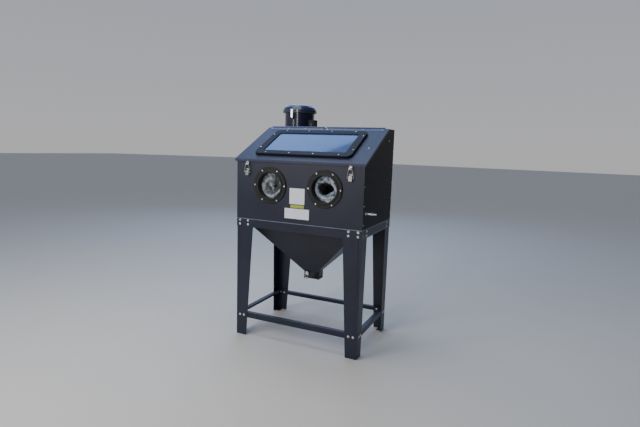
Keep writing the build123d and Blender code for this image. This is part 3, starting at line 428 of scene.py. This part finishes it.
pu = plate("plate_upper", -0.052, 0.059, 0.991, 1.097, MAT["label_upper"])
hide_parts("label_plates")
plate("plate_strip", -0.044, 0.057, 0.966, 0.986, MAT["label_strip"], 0.001)
plate("plate_lower", -0.087, 0.095, 0.892, 0.961, MAT["label_lower"])


# ------------------------------------------------------------------ gloves: slack sleeves clamped on the rings, and hands
def smooth(a, b, x):
    t = min(1.0, max(0.0, (x - a) / (b - a)))
    return t * t * (3 - 2 * t)


def seg_dist(px, pz, ax, az, bx_, bz):
    dx, dz = bx_ - ax, bz - az
    t = ((px - ax) * dx + (pz - az) * dz) / max(1e-9, dx * dx + dz * dz)
    t = min(1.0, max(0.0, t))
    return math.hypot(px - ax - t * dx, pz - az - t * dz)


def pleats(points, width, height):
    return [(a[0], a[1], b[0], b[1], width, height) for a, b in zip(points, points[1:])]


FOLDS = {
    "left": pleats([(0.97, -0.05), (0.55, -0.38), (0.12, -0.80)], 0.13, 8.5) + pleats([(0.88, -0.52), (0.58, -0.78), (0.25, -0.95)], 0.10, 7.5)
    + pleats([(0.74, -0.46), (0.45, -0.68), (0.18, -0.88)], 0.06, -7.0) + pleats([(-0.25, 0.62), (-0.60, 0.42), (-0.86, 0.05), (-0.86, -0.30), (-0.66, -0.60)], 0.14, 6.5)
    + pleats([(-0.60, -0.66), (-0.30, -0.82), (0.02, -0.86)], 0.12, 6.0) + pleats([(0.22, 0.70), (0.26, 0.30), (0.36, -0.05), (0.22, -0.45)], 0.22, -9.0)
    + pleats([(-0.35, 0.86), (0.10, 0.93), (0.55, 0.82)], 0.09, 5.0) + pleats([(0.58, 0.66), (0.72, 0.36), (0.70, 0.10)], 0.16, 5.0)
    + pleats([(-0.52, 0.12), (-0.30, -0.20), (-0.10, -0.62)], 0.12, -5.5) + pleats([(-0.15, 0.40), (-0.28, 0.12), (-0.10, -0.15)], 0.14, 3.5),
    "right": pleats([(0.28, 0.80), (0.42, 0.40), (0.70, 0.10), (0.80, -0.25)], 0.09, 8.0) + pleats([(0.56, 0.78), (0.55, 0.45), (0.74, 0.20)], 0.05, -8.0)
    + pleats([(0.78, 0.62), (0.86, 0.28), (0.96, 0.02)], 0.09, 7.0) + pleats([(0.62, -0.10), (0.56, -0.34), (0.70, -0.52)], 0.06, -7.0)
    + pleats([(-0.92, 0.30), (-0.94, -0.10), (-0.72, -0.42), (-0.32, -0.66), (0.10, -0.72)], 0.11, 7.0) + pleats([(-0.20, -0.92), (0.14, -0.80), (0.40, -0.86)], 0.06, -7.5)
    + pleats([(-0.30, -0.96), (0.05, -0.94), (0.42, -0.96)], 0.08, 6.0) + pleats([(0.20, -0.56), (0.46, -0.60), (0.62, -0.72)], 0.08, 7.0)
    + pleats([(0.40, -0.62), (0.34, -0.78)], 0.05, -6.0) + pleats([(-0.72, 0.62), (-0.50, 0.50), (-0.30, 0.78), (-0.10, 0.86)], 0.06, 8.0)
    + pleats([(-0.58, 0.66), (-0.40, 0.68)], 0.07, -8.0) + pleats([(0.02, 0.86), (0.10, 0.66)], 0.06, -7.0) + pleats([(0.16, 0.92), (0.20, 0.66)], 0.05, 6.0),
}
# depth behind the panel face, radius, sideways and upward shift of the sleeve's centre, in millimetres
STATIONS = {
    "left": [(17, 93.0, 0, 0), (30, 93.4, 0, 0), (40, 93.0, 0, 0), (43.5, 89, 0, 0), (44, 82, 0, 0), (43, 73, 0, 0), (44, 62, 0, 0), (47, 48, 1, 0), (50, 34, 2, -1), (54, 20, 3, -2),
             (60, 8, 4, -3), (70, 7, 4, -4), (84, 26, 2, -4), (104, 48, 0, 0), (135, 62, 0, 0), (190, 64, 0, 0), (250, 55, 0, 0), (300, 47, 0, 0)],
    "right": [(17, 93.0, 0, 0), (30, 93.4, 0, 0), (40, 93.0, 0, 0), (43.5, 89, 0, 0), (44, 82, 0, 0), (41, 75, -2, 0), (42, 69, -7, 1), (45, 61, -14, 2), (51, 54, -20, 3), (64, 50, -22, 4),
              (84, 48, -18, 4), (104, 50, -9, 2), (128, 56, 0, 0), (160, 64, 0, 0), (200, 64, 0, 0), (245, 56, 0, 0), (300, 47, 0, 0)],
}


def sleeve(name, side, which):
    cx, cz = side * 0.203, 1.104
    st = STATIONS[which]
    nu, nv = 168, 150
    tilt = math.radians(25)
    arc = [0.0]
    for a, b in zip(st, st[1:]):
        arc.append(arc[-1] + math.hypot(b[0] - a[0], b[1] - a[1]))
    verts, keep, fold_shading = [], [], []
    for j in range(nv):
        t = arc[-1] * j / (nv - 1)
        k = max(i for i in range(len(arc) - 1) if arc[i] <= t + 1e-9)
        f = (t - arc[k]) / (arc[k + 1] - arc[k])
        f = f if k in (0, len(arc) - 2) else f * 0.5 + 0.5 * f * f * (3 - 2 * f)
        d, r, sx, sz = (st[k][q] + (st[k + 1][q] - st[k][q]) * f for q in range(4))
        d, r, sx, sz = d / 1000, r / 1000, sx / 1000, sz / 1000
        back = max(0.0, d - 0.08)
        y = d if d < 0.08 else 0.08 + back * math.cos(tilt)
        zc = cz - back * math.sin(tilt)
        mouth = smooth(0.0415, 0.0435, d) if t > arc[2] else 0.0
        deep = smooth(0.062, 0.10, d)
        for i in range(nu):
            a = 2 * math.pi * i / nu
            ca, sa = math.cos(a), math.sin(a)
            rr = r
            if which == "right":
                thr = smooth(0.080, 0.050, r) * (1 - smooth(0.10, 0.13, d))
                rr *= 1 + thr * (0.10 * math.cos(4 * a + 0.5) * (1 if sa < 0 else 0.5) + 0.05 * math.sin(3 * a + 1.0))
            ex, ez = (1 + 0.10 * thr, 1 - 0.24 * thr) if which == "right" else (1, 1)
            x, z = sx + ca * rr * ex, sz + sa * rr * ez
            q = Vector((x * 34 + 9 * side, d * 30, z * 34))
            n1 = noise.noise(q)
            n2 = noise.noise(q * 2.2 + Vector((3, 1, 7)))
            n3 = noise.noise(q * 4.7 + Vector((1, 8, 2)))
            ridged = (1 - abs(n2) * 2.4)
            dy = h = 0.0
            if mouth > 0 and deep < 1:
                u, v = x / 0.0865, z / 0.0865
                edge = 1 - smooth(0.93, 1.02, math.hypot(u, v))
                h = sum(p[5] * math.exp(-(seg_dist(u, v, *p[:4]) / p[4]) ** 2) for p in FOLDS[which])
                h = max(-11.0, min(10.0, h))
                dy = -(h * 0.00095 + 0.0020 * n1 + 0.0026 * ridged + 0.0010 * n3) * mouth * (1 - deep) * edge
            # per-vertex painted shade in the pleats' valleys and painted highlight on their crests, mixed with random
            # mottling
            fold_shading.append(min(1.0, max(0.0, 0.40 + h / 17 + 0.38 * n2 + 0.22 * n1 + 0.18 * n3)))
            amp = (0.0030 * n1 + 0.0016 * n2) * smooth(0.055, 0.09, d)
            rad = math.hypot(x - sx, z - sz)
            g = 1 + (amp + 0.0058 * deep * math.sin(9 * a + 26 * d + 2 * n1) + 0.0022 * deep * math.sin(17 * a - 31 * d + 2 * n2)) / max(0.02, rad)
            verts.append(P(cx + sx + (x - sx) * g, y + dy, zc + sz + (z - sz) * g))
        keep.append(d < 0.0425 and t < arc[3])
    faces = []
    for j in range(nv - 1):
        for i in range(nu):
            a, b = j * nu + i, j * nu + (i + 1) % nu
            faces.append((a, b, b + nu, a + nu))
    o = link_mesh(name, verts, faces, MAT["glove_fabric" if which == "right" else "glove_fabric_left"])
    at = o.data.attributes.new("fold_shading", "FLOAT", "POINT")
    at.data.foreach_set("value", fold_shading)
    g = o.vertex_groups.new(name="pin")
    rest = [v.co.copy() for v in o.data.vertices]
    for v in o.data.vertices:
        j = v.index // nu
        w = 1.0 if keep[j] or j > nv - 4 else 0.0
        if w:
            g.add([v.index], w, "REPLACE")
    c = o.modifiers.new("cloth", "CLOTH")
    s = c.settings
    s.quality = 5
    s.mass = 0.25
    s.tension_stiffness = 14
    s.compression_stiffness = 8
    s.shear_stiffness = 6
    s.bending_stiffness = 0.35
    s.vertex_group_mass = "pin"
    s.shrink_min = -0.10
    s.effector_weights.gravity = 0.35
    c.collision_settings.use_collision = False
    c.collision_settings.use_self_collision = False
    c.point_cache.frame_start, c.point_cache.frame_end = 1, 14
    for f in range(1, 13):
        scene.frame_set(f)
    dg = bpy.context.evaluated_depsgraph_get()
    ev = o.evaluated_get(dg)
    co = [v.co.copy() for v in ev.data.vertices]
    o.modifiers.clear()
    cap = 0.006
    for v, a, b in zip(o.data.vertices, rest, co):
        m = b - a
        if m.length > cap:
            m *= cap / m.length
        v.co = a + m
    scene.frame_set(1)
    # the cloth stays off the ring's sleeve and inside the cuff's outline
    for v in o.data.vertices:
        x, y, z = v.co.x + OX - cx, v.co.y + OY, v.co.z - cz
        rr = math.hypot(x, z)
        if y < 0.0415 and rr < 0.0918:
            if rr > 0.084:
                f = 0.0918 / rr
                v.co.x, v.co.z = cx - OX + x * f, cz + z * f
        elif rr > 0.0938 and y < 0.09:
            f = 0.0938 / rr
            v.co.x, v.co.z = cx - OX + x * f, cz + z * f
    s = o.modifiers.new("sub", "SUBSURF")
    s.levels = s.render_levels = 1
    k = o.modifiers.new("thick", "SOLIDIFY")
    k.thickness = 0.0012
    k.offset = 0
    return o, arc[-1] / 1000


def hand(name, side):
    """Palm, thumb and four fingers, hanging at the sleeve's end; fused by remeshing."""
    cx, cz = side * 0.203, 1.104
    tilt = math.radians(25)
    d = Vector((0, math.cos(tilt), -math.sin(tilt)))
    c0 = P(cx, 0.07, cz)
    up = Vector((0, math.sin(tilt), math.cos(tilt)))
    rt = Vector((1, 0, 0))
    bm = bmesh.new()

    def ball(p, r, sx=1.0, sz=1.0):
        m = Matrix.Translation(p) @ Matrix((rt, d, up)).transposed().to_4x4() @ Matrix.Diagonal((sx, 1, sz, 1))
        bmesh.ops.create_icosphere(bm, subdivisions=3, radius=r, matrix=m)

    def limb(a, b, r0, r1):
        for k in range(9):
            t = k / 8
            ball(a.lerp(b, t), r0 + (r1 - r0) * t)

    for k in range(7):                                     # wrist to palm
        t = k / 6
        ball(c0 + d * (0.215 + 0.085 * t), 0.046 + 0.002 * t, 1.05, 0.66)
    palm = c0 + d * 0.312
    for f in range(4):
        x = (f - 1.5) * 0.021
        a = palm + rt * x
        b = palm + rt * x * 1.15 + d * (0.047 - 0.004 * abs(f - 1.5)) - up * 0.016
        limb(a, b, 0.0135, 0.0115)
    limb(c0 + d * 0.25 - rt * side * 0.035, c0 + d * 0.315 - rt * side * 0.052 - up * 0.01, 0.017, 0.0135)
    me = bpy.data.meshes.new(name)
    bm.to_mesh(me)
    bm.free()
    o = bpy.data.objects.new(name, me)
    scene.collection.objects.link(o)
    me.materials.append(MAT["glove_fabric"])
    r = o.modifiers.new("fuse", "REMESH")
    r.mode = "VOXEL"
    r.voxel_size = 0.0045
    r.use_smooth_shade = True
    s = o.modifiers.new("relax", "SMOOTH")
    s.iterations = 4
    dg = bpy.context.evaluated_depsgraph_get()
    new = bpy.data.meshes.new_from_object(o.evaluated_get(dg))
    o.modifiers.clear()
    o.data = new
    for v in new.vertices:
        q = v.co * 42
        v.co += v.normal * (0.0022 * noise.noise(q) + 0.0012 * noise.noise(q * 2.4))
    new.polygons.foreach_set("use_smooth", [True] * len(new.polygons))
    if not new.materials:
        new.materials.append(MAT["glove_fabric"])
    return o


# the sleeve's cut before it was gathered: a taper from the cuff's girth to the wrist's, 0.40 long
# (a 0.60 glove of this kind less 0.20 of hand)
for nm, side in (("left", -1), ("right", 1)):
    s, run = sleeve("glove_sleeve_" + nm, side, nm)
    h = hand("glove_hand_" + nm, side)
    for o in (s, h):
        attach(o, "cabinet")
    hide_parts("glove_" + nm)

# ------------------------------------------------------------------ floor, light, camera
def floor():
    m = M("pale_floor")
    g = m.noise(2.5, 5, 0.6)
    f = m.noise(60, 5, 0.7)
    base = m.mix(g, srgb(240, 232, 216), srgb(246, 238, 223))
    m.set(color=base, rough=m.math("ADD", m.math("MULTIPLY", f, 0.1), 0.55), normal=m.bump(f, 0.02, 0.001))
    o = link_mesh("floor", [(-40, -40, 0), (40, -40, 0), (40, 40, 0), (-40, 40, 0)], [(0, 1, 2, 3)], m.m, False)


floor()
w = bpy.data.worlds.new("studio")
scene.world = w
w.use_nodes = True
wt = w.node_tree
bg = wt.nodes["Background"]
tc = wt.nodes.new("ShaderNodeTexCoord")
sep = wt.nodes.new("ShaderNodeSeparateXYZ")
wt.links.new(tc.outputs["Generated"], sep.inputs[0])
rp = wt.nodes.new("ShaderNodeValToRGB")
el = rp.color_ramp.elements
el[0].position, el[0].color = 0.0, (0.34, 0.34, 0.35, 1)
el[1].position, el[1].color = 1.0, (0.26, 0.36, 0.60, 1)
e = el.new(0.5)
e.color = (0.80, 0.80, 0.82, 1)
mp = wt.nodes.new("ShaderNodeMapRange")
mp.inputs["From Min"].default_value = -1
mp.inputs["From Max"].default_value = 1
wt.links.new(sep.outputs["Z"], mp.inputs["Value"])
wt.links.new(mp.outputs["Result"], rp.inputs["Fac"])
flag = wt.nodes.new("ShaderNodeMapRange")
for k, v in (("From Min", 0.24), ("From Max", 0.62), ("To Min", 1.0), ("To Max", 0.10)):
    flag.inputs[k].default_value = v
wt.links.new(sep.outputs["X"], flag.inputs["Value"])
mul = wt.nodes.new("ShaderNodeVectorMath")
mul.operation = "SCALE"
wt.links.new(rp.outputs["Color"], mul.inputs[0])
wt.links.new(flag.outputs["Result"], mul.inputs["Scale"])
wt.links.new(mul.outputs["Vector"], bg.inputs["Color"])
bg.inputs["Strength"].default_value = 0.62


def area(name, loc, target, size, power, col, sy=None):
    l = bpy.data.lights.new(name, "AREA")
    l.energy = power
    l.color = col
    l.size = size
    if sy:
        l.shape = "RECTANGLE"
        l.size_y = sy
    o = bpy.data.objects.new(name, l)
    scene.collection.objects.link(o)
    o.location = loc
    o.rotation_mode = "QUATERNION"
    o.rotation_quaternion = (Vector(target) - Vector(loc)).to_track_quat("-Z", "Y")
    return o


area("overhead", P(-0.6, 0.2, 4.2), P(0, 0.2, 1.2), 2.6, 48, (0.86, 0.92, 1.0))
area("back_sky", P(-2.2, 4.6, 4.2), P(0, 0.2, 1.3), 4.2, 88, (0.26, 0.48, 1.0))
area("front_fill", P(-2.4, -3.4, 3.0), P(0, 0, 1.0), 2.0, 46, (0.97, 0.97, 1.0))
area("low_front", P(0.5, -3.6, 0.7), P(0.1, 0, 0.9), 1.2, 5, (0.92, 0.94, 1.0))
area("warm_spot", P(-0.93, -2.6, 1.16), P(0.2, 0, 1.25), 0.16, 3.2, (1.0, 0.82, 0.60))
area("streak_a", P(-1.73, -2.47, 1.80), P(-0.38, 0.757, 1.6), 0.09, 9, (0.95, 0.96, 1.0), 0.9)
area("streak_b", P(0.137, -2.70, 1.80), P(-0.38, 0.757, 1.6), 0.13, 11, (0.95, 0.96, 1.0), 0.9)

cam = bpy.data.cameras.new("cam")
cam.sensor_width = 36
cam.lens = 462.44389 / 640 * 36
cam.clip_end = 50
co = bpy.data.objects.new("cam", cam)
scene.collection.objects.link(co)
yaw, pitch, roll = math.radians(-24.43079), math.radians(8.16345), math.radians(1.85649)
fw = Vector((math.sin(yaw) * math.cos(pitch), math.cos(yaw) * math.cos(pitch), -math.sin(pitch)))
rt = Vector((math.cos(yaw), -math.sin(yaw), 0))
up = rt.cross(fw)
r = math.cos(roll) * rt + math.sin(roll) * up
u = -math.sin(roll) * rt + math.cos(roll) * up
co.matrix_world = Matrix(((r.x, u.x, -fw.x, 1.40779355 - OX), (r.y, u.y, -fw.y, -2.71236579 - OY), (r.z, u.z, -fw.z, 1.37247848), (0, 0, 0, 1)))
scene.camera = co
